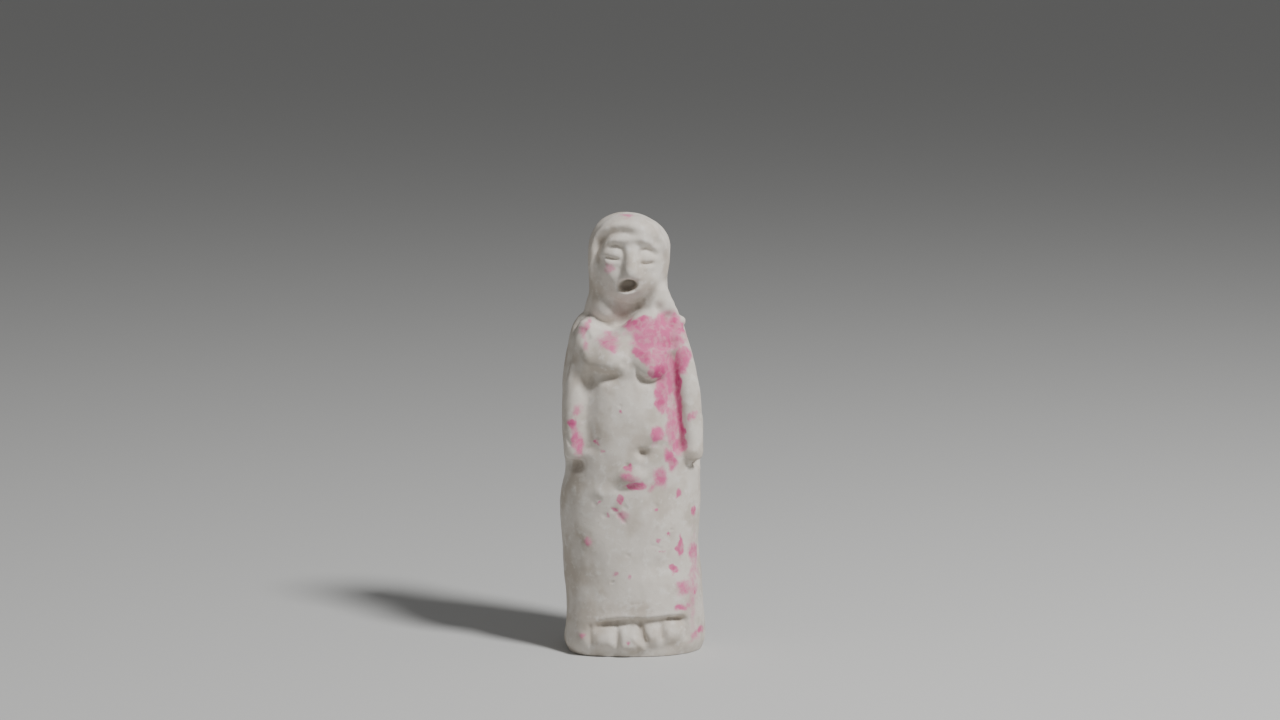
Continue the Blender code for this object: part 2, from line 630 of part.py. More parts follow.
def main():
    """Build the figurine."""
    for thing in list(bpy.data.objects):
        bpy.data.objects.remove(thing)
    figure = join_lumps(lumps())
    knead(figure, CLAY_GRAIN, 12)
    for _ in range(CARVING_ROUNDS):
        carve(figure, 1.0 / CARVING_ROUNDS)
        knead(figure, CLAY_GRAIN, 3, soften=2)
    stand(figure)
    thin = figure.modifiers.new("fewer triangles", "DECIMATE")
    thin.ratio = min(1.0, FINISHED_TRIANGLES / (2 * len(figure.data.polygons)))
    block = flat_foot(figure)
    figure.data.materials.append(fired_clay())
    figure.data.shade_smooth()
    collect("clay female figurine", [figure])
    collect("cutters", [block])


main()
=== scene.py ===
import math

import bmesh
import bpy
import numpy as np
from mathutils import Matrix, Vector, noise


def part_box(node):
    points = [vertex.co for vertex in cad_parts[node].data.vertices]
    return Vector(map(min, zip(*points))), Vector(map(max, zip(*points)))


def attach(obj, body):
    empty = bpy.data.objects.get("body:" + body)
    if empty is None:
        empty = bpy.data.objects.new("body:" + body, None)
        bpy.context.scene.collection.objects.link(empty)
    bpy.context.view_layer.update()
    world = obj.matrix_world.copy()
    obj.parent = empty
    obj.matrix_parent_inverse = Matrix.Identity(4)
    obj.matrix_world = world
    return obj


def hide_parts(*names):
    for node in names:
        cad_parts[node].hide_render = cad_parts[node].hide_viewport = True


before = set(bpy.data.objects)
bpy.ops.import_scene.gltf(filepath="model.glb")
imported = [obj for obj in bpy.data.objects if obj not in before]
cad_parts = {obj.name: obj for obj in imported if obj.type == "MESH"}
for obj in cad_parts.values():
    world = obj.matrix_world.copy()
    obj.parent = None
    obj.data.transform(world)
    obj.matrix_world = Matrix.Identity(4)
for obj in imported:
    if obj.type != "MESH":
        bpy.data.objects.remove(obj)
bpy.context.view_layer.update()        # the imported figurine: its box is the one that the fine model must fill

# The figurine is laid out in parts, a millimetre each at this size:
# x to its own left hand, y to its back, z up from the foot.
layout = {
    "parts": (50.0, 39.7, 150.0),         # across, deep and high
    "metres": (0.0500, 0.0397, 0.150),    # the same
    "middle": 0.75,           # how far the finished figure stands to its left of the layout, parts
    "around": 96,             # points in one level section
    "clayGrain": 0.00030,     # size of one cell of worked clay, metres
    "softness": 0.5,          # how far one smoothing pass moves a point, from 0 to 1
    "smoothing": 26,          # passes that blend the pressed-on clay
    "rounds": 3,              # the strokes go in bit by bit
    "rework": (4, 3),         # smoothing before and after each round's new skin
    "finish": 10,             # passes that soften the strokes
    "triangles": 190000,      # the finished skin
    "ground": 0.00002,        # what is lower than this is the foot's flat, metres
}


def blend(low, high, value):
    # rises smoothly from 0 at low to 1 at high
    share = np.clip((value - low) / (high - low), 0.0, 1.0)
    return share * share * (3.0 - 2.0 * share)


def changing(along, start, change, low, high):
    # a value that begins at start and gains change between low and high
    return start + change * blend(low, high, along)


def partSize():
    # metres to one part, across, deep and high
    return tuple(metres / parts for metres, parts in zip(layout["metres"], layout["parts"]))


# The lumps of clay, before any stroke.

column = {
    # height, middle, half width, front, back, squareness at the figure's right and left
    "stations": (
        (-3.0, 0.0, 21.5, 16.0, 15.4, 3.0, 2.1),
        (0.0, 0.0, 22.9, 17.9, 16.8, 3.0, 2.1),
        (2.6, 0.0, 24.1, 19.4, 17.8, 3.0, 2.1),
        (8.0, 0.2, 23.8, 20.0, 18.0, 2.8, 2.1),
        (17.0, -0.1, 23.4, 19.8, 17.8, 2.4, 2.1),
        (26.0, -0.9, 23.6, 19.4, 17.6, 2.2, 2.1),
        (38.0, -1.6, 23.2, 19.0, 17.3, 2.1, 2.1),
        (48.0, -1.8, 24.0, 18.9, 17.6, 2.1, 2.1),
        (56.0, -1.5, 23.8, 18.8, 18.0, 2.1, 2.1),
        (61.5, -1.0, 22.9, 18.8, 18.0, 2.1, 2.1),
        (69.0, -0.9, 23.6, 18.8, 17.6, 2.2, 2.1),
        (77.0, -1.0, 24.1, 18.4, 16.8, 2.2, 2.1),
        (86.0, -1.5, 23.4, 17.4, 16.2, 2.2, 2.1),
        (97.0, -1.9, 22.4, 16.4, 16.2, 2.2, 2.1),
        (105.0, -2.4, 20.6, 15.4, 15.6, 2.1, 2.1),
        (109.0, -2.4, 19.7, 12.4, 15.0, 2.1, 2.1),
        (112.0, -2.2, 18.7, 5.4, 14.2, 2.1, 2.1),
        (114.5, -2.0, 17.3, 3.4, 13.2, 2.1, 2.1),
        (118.0, -1.8, 12.0, 3.0, 9.5, 2.0, 2.0),
    ),
    "levels": 96,
}

skull = {
    # height, middle, half width, front, back
    "stations": (
        (106.0, -2.0, 13.0, 3.6, 13.5),
        (113.0, -2.0, 15.0, 4.4, 14.6),
        (118.5, -1.8, 15.2, 5.4, 14.4),
        (122.0, -2.1, 13.8, 7.8, 14.1),
        (126.5, -2.4, 13.3, 10.6, 14.2),
        (133.0, -2.1, 13.8, 11.6, 14.6),
        (138.6, -1.9, 13.9, 11.9, 14.0),
    ),
    "levels": 30,
    "squareness": 2.2,
    "top": 150.0,
    "roundness": (1.95, 3.3, 2.1),   # sides, front, back of the crown
    "lean": -0.9,                    # how far the crown leans to the figure's right
    "crownLevels": 19,
}


def stationValues(stations, height):
    # a smooth curve through every station of a table
    knots = np.array([row[0] for row in stations])
    values = np.array([row[1:] for row in stations])
    slopes = np.gradient(values, knots, axis=0)
    index = int(np.clip(np.searchsorted(knots, height) - 1, 0, len(knots) - 2))
    span = knots[index + 1] - knots[index]
    t = (height - knots[index]) / span
    return (
        (2 * t**3 - 3 * t**2 + 1) * values[index]
        + (t**3 - 2 * t**2 + t) * slopes[index] * span
        + (3 * t**2 - 2 * t**3) * values[index + 1]
        + (t**3 - t**2) * slopes[index + 1] * span
    )


def ring(height, middle, halfWidth, front, back, squareRight, squareLeft):
    # one level section whose four quarters differ
    points = []
    count = layout["around"]
    for step in range(count):
        angle = 2 * math.pi * step / count
        cosine, sine = math.cos(angle), math.sin(angle)
        power = 2.0 / (squareRight if cosine < 0 else squareLeft)
        depth = front if sine < 0 else back
        x = middle + math.copysign(halfWidth * abs(cosine) ** power, cosine)
        points.append((x, math.copysign(depth * abs(sine) ** power, sine), height))
    return points


def lumpObject(name, mesh):
    data = bpy.data.meshes.new(name)
    mesh.to_mesh(data)
    mesh.free()
    lump = bpy.data.objects.new(name, data)
    bpy.context.scene.collection.objects.link(lump)
    return lump


def loft(name, rings):
    mesh = bmesh.new()
    levels = [[mesh.verts.new(point) for point in points] for points in rings]
    for lower, upper in zip(levels, levels[1:]):
        for index in range(len(lower)):
            after = (index + 1) % len(lower)
            mesh.faces.new((lower[index], lower[after], upper[after], upper[index]))
    mesh.faces.new(list(reversed(levels[0])))
    mesh.faces.new(levels[-1])
    return lumpObject(name, mesh)


def pellet(name, place, radii, tilt=0.0):
    # a pinched ball, tilted in the front plane
    bpy.ops.mesh.primitive_uv_sphere_add(segments=40, ring_count=24, radius=1.0, location=place)
    ball = bpy.context.object
    ball.name = name
    ball.scale = radii
    ball.rotation_euler = (0.0, tilt, 0.0)
    return ball


def roll(name, points, thickness):
    # a roll of clay with rounded ends; thickness is one radius for each point
    path = bpy.data.curves.new(name, "CURVE")
    path.dimensions = "3D"
    path.bevel_depth = 1.0
    path.bevel_resolution = 6
    path.resolution_u = 14
    path.use_fill_caps = True
    spline = path.splines.new("NURBS")
    spline.points.add(len(points) - 1)
    for control, place, radius in zip(spline.points, points, thickness):
        control.co = (*place, 1.0)
        control.radius = radius
    spline.use_endpoint_u = True
    spline.order_u = 3
    curve = bpy.data.objects.new(name, path)
    bpy.context.scene.collection.objects.link(curve)
    bpy.context.view_layer.update()
    solid = bpy.data.meshes.new_from_object(curve.evaluated_get(bpy.context.evaluated_depsgraph_get()))
    welded = bmesh.new()
    welded.from_mesh(solid)
    bmesh.ops.remove_doubles(welded, verts=welded.verts, dist=0.0001)
    bmesh.ops.recalc_face_normals(welded, faces=welded.faces)
    bpy.data.objects.remove(curve)
    bpy.data.meshes.remove(solid)
    bpy.data.curves.remove(path)
    ends = [pellet(name + "End", points[index], (thickness[index],) * 3) for index in (0, -1)]
    return [lumpObject(name, welded), *ends]


def columnLump():
    stations = column["stations"]
    heights = np.linspace(stations[0][0], stations[-1][0], column["levels"])
    return loft("column", [ring(height, *stationValues(stations, height)) for height in heights])


def skullLump():
    stations = skull["stations"]
    square = skull["squareness"]
    widest = stations[-1][0]
    rings = [
        ring(height, *stationValues(stations, height), square, square)
        for height in np.linspace(stations[0][0], widest, skull["levels"])
    ]
    middle, halfWidth, front, back = stations[-1][1:]
    for step in range(1, skull["crownLevels"]):
        rise = math.sin(step / skull["crownLevels"] * math.pi / 2)
        side, fore, aft = ((1 - rise**power) ** (1 / power) for power in skull["roundness"])
        height = widest + (skull["top"] - widest) * rise
        shift = skull["lean"] * rise**2
        rings.append(ring(height, middle + shift, halfWidth * side, front * fore, back * aft, square, square))
    return loft("skull", rings)


# Every roll pressed on to the column: its path and its radii.
rolls = {
    "nose": (
        [(-1.4, -9.6, 140.4), (-1.4, -10.4, 135.6), (-1.2, -11.2, 131.4)],
        (1.8, 2.2, 2.8),
    ),
    "hairRoll": (
        [
            (-14.2, -4.6, 129.0),
            (-14.3, -5.4, 136.0),
            (-13.2, -6.8, 141.6),
            (-9.2, -9.4, 145.3),
            (-2.4, -10.8, 146.5),
            (4.4, -9.6, 145.1),
            (9.0, -6.8, 141.4),
            (10.2, -4.6, 135.0),
            (10.0, -3.8, 129.0),
        ],
        (1.3, 1.6, 1.8, 1.9, 2.0, 2.1, 1.9, 1.5, 1.3),
    ),
    "hairRight": (
        [(-11.8, -1.2, 130.0), (-11.3, -1.8, 121.5), (-10.2, -2.4, 116.8)],
        (3.4, 4.9, 5.0),
    ),
    "lock": (
        [(8.6, -3.6, 125.6), (9.9, -4.8, 121.0), (11.4, -4.6, 118.2), (13.2, -4.2, 116.0)],
        (1.8, 2.3, 2.1, 1.6),
    ),
    "collar": (
        [
            (-15.0, -4.0, 110.8),
            (-8.6, -8.4, 105.4),
            (-3.6, -8.6, 107.4),
            (0.0, -8.2, 110.2),
            (3.4, -7.0, 112.8),
            (7.0, -5.0, 115.4),
        ],
        (3.8, 4.4, 4.5, 4.6, 4.6, 4.4),
    ),
    "armRight": (
        [(-16.0, -5.6, 110.0), (-19.0, -8.4, 97.0), (-20.4, -9.4, 83.0), (-20.2, -10.2, 70.0)],
        (4.2, 4.4, 4.3, 4.2),
    ),
    "armLeft": (
        [(13.4, -5.6, 108.0), (16.8, -8.8, 96.0), (18.2, -9.8, 83.0), (18.6, -10.4, 69.4)],
        (4.2, 4.6, 4.7, 4.3),
    ),
}

# Every pellet: its middle, its radii and its tilt.
pellets = {
    "forelock": ((-1.8, -5.8, 143.2), (11.0, 7.6, 6.5), 0.0),
    "brow": ((-1.5, -3.8, 139.8), (11.0, 7.9, 7.0), 0.0),
    "jaw": ((-1.6, -5.0, 128.0), (10.4, 7.8, 8.6), 0.0),
    "muzzle": ((-1.6, -7.4, 126.8), (6.6, 6.0, 4.8), 0.0),
    "hairLeft": ((6.8, -3.4, 120.0), (5.4, 5.4, 8.0), -0.15),
    "knob": ((15.3, -3.4, 113.2), (2.0, 2.1, 1.9), 0.0),
    "chest": ((2.4, -5.0, 105.8), (11.6, 9.2, 8.0), -0.45),
    "shoulderRight": ((-13.2, -6.4, 106.0), (5.6, 5.0, 6.0), 0.0),
    "shoulderLeft": ((11.4, -2.6, 111.4), (5.0, 5.2, 5.0), 0.0),
    "navelFold": ((5.6, -16.0, 76.0), (4.0, 2.2, 2.6), 0.3),
    "wart": ((-15.2, -14.3, 39.0), (2.4, 1.8, 2.3), 0.0),
}


def pressTogether():
    # all lumps in one mesh, in metres, still as overlapping shells
    lumps = [columnLump(), skullLump()]
    for name, (points, thickness) in rolls.items():
        lumps += roll(name, points, thickness)
    for name, (place, radii, tilt) in pellets.items():
        lumps.append(pellet(name, place, radii, tilt))
    bpy.context.view_layer.update()
    joined = bmesh.new()
    for lump in lumps:
        mesh = lump.data.copy()
        mesh.transform(lump.matrix_world)
        joined.from_mesh(mesh)
        bpy.data.meshes.remove(mesh)
        data = lump.data
        bpy.data.objects.remove(lump)
        bpy.data.meshes.remove(data)
    bmesh.ops.scale(joined, vec=partSize(), verts=joined.verts)
    return lumpObject("figurine", joined)


def settle(piece):
    # the modifiers' result becomes the piece's own mesh
    bpy.context.view_layer.update()
    made = bpy.data.meshes.new_from_object(piece.evaluated_get(bpy.context.evaluated_depsgraph_get()))
    piece.modifiers.clear()
    old = piece.data
    piece.data = made
    bpy.data.meshes.remove(old)


def smoothing(piece, passes):
    soft = piece.modifiers.new("smoothing", "SMOOTH")
    soft.factor = layout["softness"]
    soft.iterations = passes


def knead(piece, grain, before, after):
    # one skin from many shells, with smoothing before and after
    if before:
        smoothing(piece, before)
    skin = piece.modifiers.new("skin", "REMESH")
    skin.mode = "VOXEL"
    skin.voxel_size = grain
    if after:
        smoothing(piece, after)
    settle(piece)


def readPoints(piece, what="co"):
    # the points' places in metres, or their normals, one row each
    values = np.empty(len(piece.data.vertices) * 3)
    piece.data.vertices.foreach_get(what, values)
    return values.reshape(-1, 3)


def writePoints(piece, points):
    piece.data.vertices.foreach_set("co", points.ravel())
    piece.data.update()


def readEdges(piece):
    ends = np.empty(len(piece.data.edges) * 2, dtype=np.int64)
    piece.data.edges.foreach_get("vertices", ends)
    return ends.reshape(-1, 2)


def readSkin(piece):
    # the points in parts, as the strokes need them
    return readPoints(piece) / np.array(partSize())


def writeSkin(piece, points):
    writePoints(piece, points * np.array(partSize()))


# Strokes are masks drawn on the front, x across and z up.

strokeShape = {
    "falloff": 1.4,            # how quickly spots and grooves thin out from their middles
    "fade": 0.12,              # share of a path over which it rises to its full depth
    "overrun": 0.02,           # share of a path by which its ends reach on
    "moundFalloff": 1.2,
    "moundPower": 1.1,
    "padSides": (-0.6, 2.2),   # how far from its edges a pad begins and is full
    "padTop": (-0.8, 3.4),
    "padBottom": (-1.6, 3.4),
    "cupTop": (-0.5, 0.9),
}


def spot(x, z, middle, radii, tilt=0.0, edge=2.0):
    # 1 at the middle of an oval, 0 outside; a higher edge makes a flatter top
    cosine, sine = math.cos(tilt), math.sin(tilt)
    along = ((x - middle[0]) * cosine + (z - middle[1]) * sine) / radii[0]
    across = ((z - middle[1]) * cosine - (x - middle[0]) * sine) / radii[1]
    return np.exp(-((along * along + across * across) ** (edge / 2)) * strokeShape["falloff"])


def cup(x, z, middle, radii, edge, top):
    # a spot cut off by an edge above it
    return spot(x, z, middle, radii, edge=edge) * blend(*strokeShape["cupTop"], top - z)


def trace(x, z, path):
    # distance to a path of straight stretches, and the share of the way along it
    best = np.full(x.shape, np.inf)
    share = np.zeros(x.shape)
    lengths = [math.dist(a, b) for a, b in zip(path, path[1:])]
    run, total = 0.0, sum(lengths)
    for (ax, az), (bx, bz), length in zip(path, path[1:], lengths):
        t = np.clip(((x - ax) * (bx - ax) + (z - az) * (bz - az)) / length**2, 0.0, 1.0)
        gap = np.hypot(x - ax - t * (bx - ax), z - az - t * (bz - az))
        nearer = gap < best
        best = np.where(nearer, gap, best)
        share = np.where(nearer, (run + t * length) / total, share)
        run += length
    return best, share


def taper(share, fade):
    # full along a path, thinning to nothing at both ends
    overrun = strokeShape["overrun"]
    return blend(0.0, fade, share + overrun) * blend(0.0, fade, 1.0 + overrun - share)


def groove(x, z, path, width, fade=strokeShape["fade"]):
    # 1 along a path, falling to 0 at its sides and towards its ends
    gap, share = trace(x, z, path)
    return np.exp(-((gap / width) ** 2) * strokeShape["falloff"]) * taper(share, fade)


def mound(x, z, middle, radii, rise):
    # a swelling that drops away quickly below and slowly above
    across = (x - middle[0]) / radii[0]
    down = (z - middle[1]) / np.where(z > middle[1], rise, radii[1])
    away = (across * across + down * down) ** strokeShape["moundPower"]
    return np.exp(-away * strokeShape["moundFalloff"])


def flank(x, z, path, steep, gentle):
    # 1 along an upward path, falling quickly on the arm's side and slowly on the body's
    gap, share = trace(x, z, path)
    pathX, pathZ = np.array(path).T
    outside = (x - np.interp(z, pathZ, pathX)) * math.copysign(1.0, pathX[0])
    width = np.where(outside > 0.0, steep, gentle)
    return np.exp(-((gap / width) ** 2)) * taper(share, strokeShape["fade"])


def ledge(x, z, path, crisp, reach, fade=2.0, side=1.0):
    # 1 just under an edge that runs from low x to high x (just above it with side -1), fading away from it
    gap, _ = trace(x, z, path)
    edgeX, edgeZ = np.array(path).T
    within = side * gap * np.sign(np.interp(x, edgeX, edgeZ) - z)
    ends = blend(edgeX[0], edgeX[0] + fade, x) * blend(edgeX[-1], edgeX[-1] - fade, x)
    return blend(-crisp, crisp, within) * np.exp(-((np.maximum(within, 0.0) / reach) ** 2)) * ends


def pad(x, z, left, right, bottom, top):
    # a pillow: 1 inside a box, rounded at its sides and above, fading out slowly below
    below, full = strokeShape["padBottom"]
    sides = blend(*strokeShape["padSides"], np.minimum(x - left, right - x))
    return sides * blend(*strokeShape["padTop"], top - z) * blend(bottom + below, bottom + full, z)


def press(x, z, depth, strokes):
    # rows of strokes in turn: how high, or how deep below 0, then the shape and what it needs
    for high, shape, *needs in strokes:
        depth = depth + high * shape(x, z, *needs)
    return depth


face = {
    # edges, from the figure's right to its left
    "hood": [
        (-14.4, 135.6), (-13.8, 139.0), (-12.6, 141.5), (-10.6, 143.6), (-8.0, 144.9), (-5.0, 145.4),
        (-1.7, 144.9), (1.2, 144.0), (4.4, 142.6), (6.8, 141.0), (9.0, 138.2),
    ],
    "contour": [(-12.6, 136.0), (-11.6, 131.0), (-10.9, 127.6), (-9.4, 124.8), (-7.5, 121.7), (-6.0, 119.0)],
    "brow": [
        (-13.0, 133.6), (-12.3, 136.2), (-10.9, 138.6), (-9.6, 140.2), (-7.9, 141.4), (-5.2, 142.0),
        (-1.1, 142.3), (2.0, 142.1), (5.6, 140.2), (8.6, 136.4),
    ],
    # how deep or high along them: the value, its change, and where that begins and ends
    "hoodReach": (2.6, 1.6, -11.0, -7.0),
    "hoodDeep": (2.6, -1.8, -3.0, 4.0),
    "contourDeep": (0.2, 0.6, 131.0, 125.0),
    "browHigh": (1.2, 0.5, -5.0, -9.0),
    "temple": (
        (
            -1.0, groove,
            [(-8.4, 143.4), (-11.2, 140.6), (-12.9, 136.0), (-12.9, 131.0), (-11.6, 126.0), (-9.8, 122.0)],
            2.0, 0.3,
        ),
    ),
    "cheeks": (
        (0.8, spot, (-8.9, 131.6), (3.2, 4.6)),
        (-0.7, groove, [(8.4, 139.4), (10.0, 134.0), (10.0, 129.0), (8.8, 124.6)], 1.5, 0.3),
    ),
    "eyes": (
        # sockets
        (-1.7, spot, (-7.4, 137.1), (4.0, 3.1), 0.1, 2.6),
        (-1.8, spot, (4.4, 136.2), (4.1, 3.0), -0.3, 2.6),
        # closed lids that bulge towards their slits
        (2.4, mound, (-7.9, 136.7), (3.9, 1.5), 3.0),
        (2.3, mound, (4.5, 135.2), (3.8, 1.5), 2.9),
        # lower lids
        (0.7, groove, [(-10.6, 134.9), (-9.0, 134.2), (-6.8, 133.8), (-4.8, 134.2)], 0.9),
        (0.7, groove, [(1.4, 132.5), (3.6, 132.0), (6.4, 132.4)], 1.0),
        # lines over the lids
        (
            -0.8, groove,
            [
                (-11.6, 136.4), (-10.6, 138.2), (-9.2, 139.4), (-7.2, 140.0),
                (-5.6, 139.5), (-4.4, 138.2), (-3.7, 135.4),
            ],
            1.0,
        ),
        (-0.8, groove, [(1.0, 135.4), (1.4, 137.9), (3.6, 138.5), (5.8, 137.5), (7.6, 135.8)], 0.9),
        # slits
        (-1.2, groove, [(-10.4, 136.0), (-8.8, 135.7), (-7.0, 135.2), (-5.3, 134.9)], 0.5),
        (-1.2, groove, [(1.4, 134.0), (3.4, 133.4), (6.0, 133.8)], 0.6),
    ),
    "nose": {
        "middle": -1.6,
        "top": 140.5,
        "long": 11.0,
        "right": (1.6, 1.3),        # half width at the top, and how much wider at the foot
        "left": (1.8, 1.8),
        "high": (0.7, 1.6),         # height at the top, and how much higher at the foot
        "roundness": 2.6,
        "foot": (127.6, 129.2),     # where it begins and is full
        "bridge": (143.0, 139.0),
    },
    "mouth": {
        "middle": (-2.6, 126.3),
        "radii": (3.3, 2.2),
        "slant": 0.2,               # a little higher at the figure's left
        "edge": (1.14, 0.78),
        "floor": 5.0,               # how far before the middle of the head the mouth ends
    },
    "lowerLip": ((0.8, groove, [(-6.0, 124.4), (-5.0, 123.5), (-2.9, 123.1), (-0.4, 123.8)], 0.8),),
}


def carveFace(x, z, depth):
    # the hollow under the hair roll is deep at the figure's right and shallower at its left
    deep = changing(x, *face["hoodDeep"])
    reach = changing(x, *face["hoodReach"])
    depth = depth - deep * ledge(x, z, face["hood"], crisp=1.8, reach=reach, fade=1.6)
    depth = press(x, z, depth, face["temple"])
    # the face's contour on the figure's right
    deep = changing(z, *face["contourDeep"])
    depth = depth - deep * ledge(x, z, face["contour"], crisp=1.8, reach=3.0, side=-1.0)
    depth = press(x, z, depth, face["cheeks"])
    # one brow ridge arches over both eyes
    high = changing(x, *face["browHigh"])
    depth = depth + high * groove(x, z, face["brow"], width=1.6, fade=0.16)
    depth = press(x, z, depth, face["eyes"])
    depth = pinchNose(x, z, depth, **face["nose"])
    depth = openMouth(x, z, depth, **face["mouth"])
    return press(x, z, depth, face["lowerLip"])


def pinchNose(x, z, depth, middle, top, long, right, left, high, roundness, foot, bridge):
    # a straight nose, steep at the figure's right, widest and highest at its foot
    fall = np.clip((top - z) / long, 0.0, 1.0)
    half = np.where(x < middle, right[0] + right[1] * fall, left[0] + left[1] * fall)
    ridge = (high[0] + high[1] * fall) * np.exp(-np.abs((x - middle) / half) ** roundness)
    return depth + ridge * blend(*foot, z) * blend(*bridge, z)


def openMouth(x, z, depth, middle, radii, slant, edge, floor):
    # an oval hole right under the nose
    aside, up = x - middle[0], z - middle[1]
    hole = blend(*edge, np.hypot((aside + slant * up) / radii[0], (up - slant * aside) / radii[1]))
    return depth - hole * np.maximum(0.0, depth - floor)


neck = {
    "neckline": [
        (-17.0, 116.0), (-14.4, 114.2), (-11.7, 111.8), (-8.5, 110.4), (-5.1, 111.4), (-2.4, 113.4),
        (-0.3, 115.6), (3.4, 118.7), (6.4, 121.8), (8.4, 124.2),
    ],
    "necklineDeep": (2.4, -0.2, -4.0, 2.0),
    "hair": {
        "edge": [(-7.4, 110.4), (-5.8, 113.6), (-5.9, 117.2), (-7.8, 121.0), (-10.4, 124.7)],
        "crisp": (-0.9, 0.7),
        # where it begins and is full, at its outer side, foot and top
        "outside": (-17.4, -13.4),
        "foot": (110.2, 112.6),
        "top": (124.0, 116.0),
        "high": 1.6,
    },
    "folds": (
        (-1.5, groove, [(7.2, 120.6), (8.6, 117.0), (12.2, 113.0)], 1.7, 0.3),
        (0.7, groove, [(-17.8, 115.0), (-15.8, 111.6), (-14.6, 108.6)], 2.0),
        (-0.5, groove, [(-17.2, 111.4), (-15.9, 109.8), (-15.0, 107.6)], 0.8),
        (0.8, spot, (-17.0, 105.4), (2.0, 2.8), 0.3),
    ),
}


def carveNeck(x, z, depth):
    # the neck lies back behind a V-shaped neckline, and the hair on the figure's right hangs before it
    deep = changing(x, *neck["necklineDeep"])
    depth = depth - deep * ledge(x, z, neck["neckline"], crisp=0.9, reach=5.4, fade=4.0, side=-1.0)
    hair = neck["hair"]
    edgeX, edgeZ = np.array(hair["edge"]).T
    sides = blend(*hair["crisp"], np.interp(z, edgeZ, edgeX) - x) * blend(*hair["outside"], x)
    depth = depth + hair["high"] * sides * blend(*hair["foot"], z) * blend(*hair["top"], z)
    return press(x, z, depth, neck["folds"])


torso = {
    "arms": (
        (-2.3, flank, [(16.6, 69.0), (15.4, 80.0), (14.4, 88.0), (13.6, 97.0), (12.6, 105.0)], 1.5, 3.2),
        (-1.3, flank, [(-16.0, 69.0), (-16.6, 80.0), (-16.2, 90.0), (-14.6, 100.0)], 1.5, 4.0),
        (-1.0, spot, (-21.4, 98.6), (2.6, 6.4), 0.1),
        (0.6, groove, [(16.8, 71.0), (19.0, 70.2), (21.6, 70.6)], 1.5),
        # a deep hollow under each hand
        (-3.0, cup, (21.4, 65.5), (2.3, 2.2), 3.4, 66.9),
        (-3.2, cup, (-20.2, 65.2), (2.9, 2.7), 3.0, 67.3),
    ),
    "breasts": (
        (2.8, mound, (-9.2, 101.0), (6.4, 3.9), 6.8),
        (1.2, spot, (-15.8, 101.4), (3.4, 6.4), 0.1),
        (3.0, mound, (5.0, 98.9), (5.0, 3.8), 6.4),
        (-0.7, groove, [(-1.6, 107.0), (-1.8, 102.0), (-1.4, 97.0)], 1.8, 0.3),
        # a hollow under each
        (-0.7, ledge, [(-18.6, 95.6), (-13.4, 97.0), (-8.4, 97.4), (-3.6, 96.8)], 1.0, 3.0, 4.4),
        (-1.6, spot, (-15.4, 93.2), (2.8, 3.6), -0.2),
        (-1.8, spot, (-8.4, 95.4), (4.4, 2.6), 0.1),
        (
            -2.1, ledge,
            [(-0.8, 100.6), (1.2, 97.4), (3.6, 95.4), (6.0, 94.6), (8.6, 95.2), (11.0, 97.0)],
            0.9, 2.3, 2.4,
        ),
    ),
    # navel, the fold beside it and the boss below
    "belly": (
        (1.0, spot, (4.0, 75.0), (13.0, 15.0)),
        (-0.8, spot, (2.2, 70.5), (3.6, 1.9)),
        (-2.2, spot, (2.6, 69.8), (1.8, 1.8)),
        (0.7, spot, (6.2, 76.2), (2.9, 3.2)),
        (-0.35, groove, [(4.4, 72.7), (7.0, 72.9), (11.0, 72.5)], 0.8),
        (1.8, spot, (-1.5, 62.1), (4.9, 3.0), 0.06, 3.0),
    ),
    "underBoss": [(-8.4, 58.9), (-5.4, 58.0), (-2.0, 58.1), (1.2, 59.2), (3.6, 61.2)],
    "underBossDeep": (0.7, -0.6, -3.0, 2.0),
}


def carveTorso(x, z, depth):
    for group in ("arms", "breasts", "belly"):
        depth = press(x, z, depth, torso[group])
    # the boss is undercut, most at the figure's right
    deep = changing(x, *torso["underBossDeep"])
    return depth - deep * ledge(x, z, torso["underBoss"], crisp=0.8, reach=1.4, fade=2.6)


feet = {
    "hem": [
        (-15.4, 9.8), (-13.4, 11.2), (-10.8, 12.4), (-4.7, 13.4),
        (2.0, 13.2), (11.2, 13.7), (16.0, 13.5), (18.4, 12.2),
    ],
    "welt": 0.8,           # how far above the hem its raised line runs
    "weltHigh": 0.4,
    "hemDeep": 1.9,
    "hollows": (
        (-1.0, groove, [(-12.6, 11.0), (-9.4, 11.6), (-2.2, 12.0)], 1.3, 0.25),
        (-1.1, groove, [(10.8, 13.0), (13.0, 12.9), (16.4, 12.0)], 0.8),
        (-0.5, groove, [(-14.0, 2.4), (0.0, 1.6), (15.0, 3.2)], 2.0),
    ),
    "toes": (
        (1.8, pad, -14.6, -6.6, 2.6, 10.4),
        (1.8, pad, -6.0, 1.2, 0.8, 10.6),
        (1.8, pad, 3.0, 9.1, 4.0, 10.8),
        (1.8, pad, 9.5, 17.2, 4.6, 11.6),
        # the gap between the feet, with a stray strip of clay beside it
        (-1.3, groove, [(1.8, 12.4), (2.2, 9.0), (3.8, 5.0)], 1.0),
        (1.0, groove, [(-0.6, 7.4), (0.8, 5.4), (2.2, 3.6), (3.4, 2.0)], 1.1),
        (0.8, spot, (-17.8, 6.6), (1.6, 2.0)),
        # lines beside and between the toes
        (-0.6, groove, [(-15.3, 11.0), (-15.0, 0.6)], 0.7),
        (-0.6, groove, [(-6.3, 13.0), (-6.2, 3.0)], 0.7),
        (-0.6, groove, [(9.3, 11.6), (9.3, 6.0)], 0.7),
        (-0.6, groove, [(17.5, 12.6), (17.7, 5.4)], 0.7),
    ),
}


